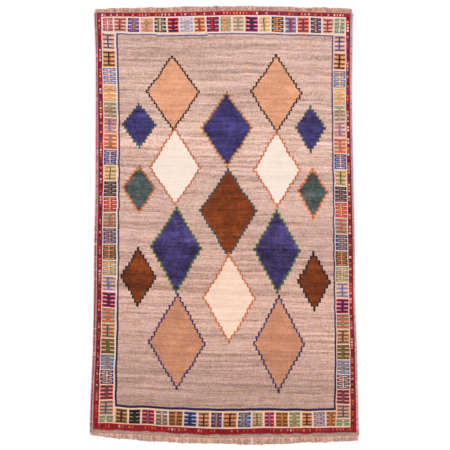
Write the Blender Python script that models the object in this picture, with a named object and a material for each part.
"""Gabbeh rug lying flat: a knotted wool pile with a flat-woven foot, wrapped sides and cut fringes.

The origin is under the middle of the rug, on the floor. +Y runs to the head of the rug, +Z is up.
"""

from collections import namedtuple
import math
import random

import bmesh
import bpy
from mathutils import Matrix

# Heights above the floor, in metres
PILE_HEIGHT = 0.012
PILE_ROUNDING = 0.002
KILIM_THICKNESS = 0.003
STRIP_THICKNESS = 0.003
LOCK_THICKNESS = 0.004
TIP_THICKNESS = 0.0015

# Widths and lengths in the plane of the rug
KILIM_DEPTH = 0.017
PILE_STEP = 0.001
STRIP_DEPTH = 0.005
STRIP_INSET = 0.003
SHOULDER_LENGTH = 0.004
SHORTEST_LOCK = 0.006
GAP = 0.0003

# How the fringe locks narrow, lean and vary
SHOULDER_WIDTH_SHARE = 0.7
TIP_WIDTH_SHARE = 0.42
TIP_LEAN = 0.0022
TIP_UNEVENNESS = 0.004

# How finely each piece is divided
PILE_COLUMNS = 20
PILE_ROWS = 24
CORD_SIDES = 8
SMOOTH_ANGLE = math.radians(40)

# The left and right edges of the whole rug at stations down its length: it is wider at the foot
SideStation = namedtuple("SideStation", "y left right")
SIDE_STATIONS = (
    SideStation(-1.06, -0.648, 0.648),
    SideStation(-0.83, -0.642, 0.643),
    SideStation(-0.60, -0.632, 0.637),
    SideStation(-0.36, -0.627, 0.628),
    SideStation(-0.10, -0.625, 0.626),
    SideStation(0.15, -0.620, 0.621),
    SideStation(0.40, -0.619, 0.616),
    SideStation(0.65, -0.618, 0.614),
    SideStation(0.85, -0.619, 0.616),
    SideStation(1.06, -0.627, 0.618),
)

# The ends of the pile and the reach of the fringe tips at stations across the width
EndStation = namedtuple("EndStation", "x head foot head_tips foot_tips")
END_STATIONS = (
    EndStation(-0.65, 1.020, -0.977, 1.034, -1.008),
    EndStation(-0.57, 1.020, -0.980, 1.042, -1.018),
    EndStation(-0.40, 1.020, -0.987, 1.046, -1.034),
    EndStation(-0.20, 1.023, -0.998, 1.050, -1.046),
    EndStation(0.00, 1.028, -1.004, 1.053, -1.051),
    EndStation(0.20, 1.028, -0.999, 1.052, -1.053),
    EndStation(0.40, 1.023, -0.998, 1.048, -1.045),
    EndStation(0.57, 1.018, -0.994, 1.043, -1.038),
    EndStation(0.65, 1.016, -0.992, 1.034, -1.032),
)

# The wrapped bundles on each side: which side, widths of the inner and the outer one, and their heights
Selvedge = namedtuple("Selvedge", "side inner_width outer_width inner_height outer_height")
SELVEDGES = (
    Selvedge("left", 0.0085, 0.0070, 0.010, 0.009),
    Selvedge("right", 0.0065, 0.0055, 0.010, 0.009),
)

# The fringes: which end, how many locks, and the seed of their unevenness
Fringe = namedtuple("Fringe", "end locks seed")
FRINGES = (
    Fringe("head", 120, 5),
    Fringe("foot", 130, 11),
)

# Colour and roughness of each wool
Wool = namedtuple("Wool", "color roughness")
WOOLS = {
    "pile": Wool((0.62, 0.40, 0.32), 0.95),
    "taupe": Wool((0.42, 0.30, 0.24), 0.9),
    "rose": Wool((0.60, 0.14, 0.20), 0.9),
    "warp": Wool((0.62, 0.52, 0.42), 0.92),
}


def blend(start, end, share):
    return start + (end - start) * share


def line_at(stations, column, place):
    """A smooth curve through one column of the stations, read at a place along them."""
    points = [(station[0], getattr(station, column)) for station in stations]
    place = min(max(place, points[0][0]), points[-1][0])
    index = max(i for i in range(len(points) - 1) if points[i][0] <= place)

    def slope(i):
        before, after = points[max(i - 1, 0)], points[min(i + 1, len(points) - 1)]
        return (after[1] - before[1]) / (after[0] - before[0])

    (start, low), (end, high) = points[index], points[index + 1]
    span = end - start
    t = (place - start) / span
    rise = high - low
    bend_in = slope(index) * span - rise
    bend_out = rise - slope(index + 1) * span
    return low + rise * t + t * (1 - t) * ((1 - t) * bend_in + t * bend_out)


def end_at(column, x):
    return line_at(END_STATIONS, column, x)


def side_at(side, y):
    return line_at(SIDE_STATIONS, side, y)


def inwards(side):
    return 1 if side == "left" else -1


def selvedge_inset(selvedge):
    """How far in from the rug's edge the pile starts."""
    return selvedge.outer_width + GAP + selvedge.inner_width + GAP


def pile_point(across, down, shift=0):
    """The place of a point of the pile, both shares from 0 to 1, counted from the head's left corner.

    The shift moves it towards the head, and the sides of the rug are then read at that place.
    """
    rough_x = blend(SIDE_STATIONS[0].left, SIDE_STATIONS[0].right, across)
    y = blend(end_at("head", rough_x), end_at("foot", rough_x), down) + shift
    left, right = SELVEDGES
    x = blend(
        side_at("left", y) + selvedge_inset(left),
        side_at("right", y) - selvedge_inset(right),
        across,
    )
    return x, y


def new_object(name, bm, wool, collection):
    """Makes an object of a finished bmesh, shaded smooth but for its sharp edges."""
    bmesh.ops.recalc_face_normals(bm, faces=bm.faces[:])
    mesh = bpy.data.meshes.new(name)
    bm.to_mesh(mesh)
    bm.free()
    mesh.shade_smooth()
    mesh.set_sharp_from_angle(angle=SMOOTH_ANGLE)
    mesh.materials.append(wool_material(name, WOOLS[wool]))
    obj = bpy.data.objects.new(name, mesh)
    collection.objects.link(obj)
    return obj


def wool_material(name, wool):
    material = bpy.data.materials.new(name + "_wool")
    material.use_nodes = True
    shader = material.node_tree.nodes["Principled BSDF"]
    shader.inputs["Base Color"].default_value = (*wool.color, 1.0)
    shader.inputs["Roughness"].default_value = wool.roughness
    shader.inputs["Metallic"].default_value = 0.0
    return material


def raised_vertices(result):
    return [item for item in result["geom"] if isinstance(item, bmesh.types.BMVert)]


def rug_body(collection):
    """The knotted pile with rounded edges, and the thin woven foot of the same cloth."""
    low = PILE_HEIGHT - PILE_ROUNDING
    columns = [(0, 0, low), (0, PILE_ROUNDING, PILE_HEIGHT)]
    columns += [(i / PILE_COLUMNS, 0, PILE_HEIGHT) for i in range(1, PILE_COLUMNS)]
    columns += [(1, -PILE_ROUNDING, PILE_HEIGHT), (1, 0, low)]
    rows = [(0, 0, low), (0, -PILE_ROUNDING, PILE_HEIGHT)]
    rows += [(i / PILE_ROWS, 0, PILE_HEIGHT) for i in range(1, PILE_ROWS)]
    rows += [(1, PILE_ROUNDING, PILE_HEIGHT), (1, 0, low)]
    rows += [(1, -PILE_STEP, KILIM_THICKNESS), (1, -KILIM_DEPTH, KILIM_THICKNESS)]

    bm = bmesh.new()
    bmesh.ops.create_grid(bm, x_segments=len(columns) - 1, y_segments=len(rows) - 1, size=0.5)
    for vert in bm.verts:
        across, shift_x, column_height = columns[round((vert.co.x + 0.5) * (len(columns) - 1))]
        down, shift_y, row_height = rows[round((0.5 - vert.co.y) * (len(rows) - 1))]
        x, y = pile_point(across, down, shift_y)
        vert.co = (x + shift_x, y, min(column_height, row_height))
    upper = set(raised_vertices(bmesh.ops.extrude_face_region(bm, geom=bm.faces[:])))
    for vert in bm.verts:
        if vert not in upper:
            vert.co.z = 0
    bmesh.ops.dissolve_limit(bm, angle_limit=0.0005, verts=bm.verts[:], edges=bm.edges[:])
    return new_object("rug_body", bm, "pile", collection)


def side_bundle(name, side, inset, width, height, wool, collection):
    """One wrapped bundle along a side: a flat-bottomed round section that follows the rug's edge."""
    corner = math.pi / CORD_SIDES
    bm = bmesh.new()
    bmesh.ops.create_circle(bm, cap_ends=True, segments=CORD_SIDES, radius=0.5 / math.cos(corner))
    bmesh.ops.rotate(bm, verts=bm.verts[:], matrix=Matrix.Rotation(corner, 3, "Z"))
    result = bmesh.ops.extrude_face_region(bm, geom=bm.faces[:])
    cap = [item for item in result["geom"] if isinstance(item, bmesh.types.BMFace)]
    for step in range(PILE_ROWS):
        if step > 0:
            cap = bmesh.ops.extrude_discrete_faces(bm, faces=cap)["faces"]
        bmesh.ops.translate(bm, verts=cap[0].verts[:], vec=(0, 0, 1))
    rough_x = SIDE_STATIONS[0].left if side == "left" else SIDE_STATIONS[0].right
    head = end_at("head", rough_x)
    foot = end_at("foot", rough_x) - KILIM_DEPTH
    for vert in bm.verts:
        y = blend(head, foot, round(vert.co.z) / PILE_ROWS)
        middle = side_at(side, y) + inwards(side) * (inset + width / 2)
        vert.co = (middle + vert.co.x * width, y, (vert.co.y + 0.5) * height)
    return new_object(name, bm, wool, collection)


def fringe(spec, collection):
    """A narrow root strip along one end, with a four-sided lock drawn out of each of its cells."""
    outward = 1 if spec.end == "head" else -1
    woven = 0 if spec.end == "head" else KILIM_DEPTH
    rng = random.Random(spec.seed)
    y_near = end_at(spec.end, 0)
    first = side_at("left", y_near) + STRIP_INSET
    last = side_at("right", y_near) - STRIP_INSET

    bm = bmesh.new()
    bmesh.ops.create_grid(bm, x_segments=spec.locks, y_segments=1, size=0.5)
    for vert in bm.verts:
        depth = STRIP_DEPTH * (vert.co.y + 0.5)
        x = blend(first, last, vert.co.x + 0.5)
        vert.co = (x, end_at(spec.end, x) + outward * (woven + GAP + depth), 0)
    raised = raised_vertices(bmesh.ops.extrude_face_region(bm, geom=bm.faces[:]))
    bmesh.ops.translate(bm, verts=raised, vec=(0, 0, STRIP_THICKNESS))
    bmesh.ops.recalc_face_normals(bm, faces=bm.faces[:])
    roots = [face for face in bm.faces if face.normal.y * outward > 0.5]

    def draw_out(faces, place):
        """Draws each lock's end face on, to the place that the function gives for its middle."""
        ends = bmesh.ops.extrude_discrete_faces(bm, faces=faces)["faces"]
        for face in ends:
            middle = face.calc_center_median()
            x, y, share, thickness = place(middle)
            for vert in face.verts:
                vert.co.x = x + (vert.co.x - middle.x) * share
                vert.co.y = y
                vert.co.z = thickness if vert.co.z > 0 else 0
        return ends

    def shoulder(middle):
        return middle.x, middle.y + outward * SHOULDER_LENGTH, SHOULDER_WIDTH_SHARE, LOCK_THICKNESS

    def tip(middle):
        reach = end_at(spec.end + "_tips", middle.x) - outward * TIP_UNEVENNESS * rng.random()
        shortest = middle.y + outward * SHORTEST_LOCK
        y = max(reach, shortest) if outward > 0 else min(reach, shortest)
        return middle.x + TIP_LEAN * rng.uniform(-1, 1), y, TIP_WIDTH_SHARE, TIP_THICKNESS

    draw_out(draw_out(roots, shoulder), tip)
    return new_object("fringe_" + spec.end, bm, "warp", collection)


def main():
    for obj in list(bpy.data.objects):
        bpy.data.objects.remove(obj, do_unlink=True)
    collection = bpy.data.collections.new("gabbeh_rug")
    bpy.context.scene.collection.children.link(collection)
    rug_body(collection)
    for selvedge in SELVEDGES:
        side = selvedge.side
        side_bundle(
            "selvedge_outer_" + side, side, 0,
            selvedge.outer_width, selvedge.outer_height, "rose", collection,
        )
        side_bundle(
            "selvedge_inner_" + side, side, selvedge.outer_width + GAP,
            selvedge.inner_width, selvedge.inner_height, "taupe", collection,
        )
    for spec in FRINGES:
        fringe(spec, collection)


main()
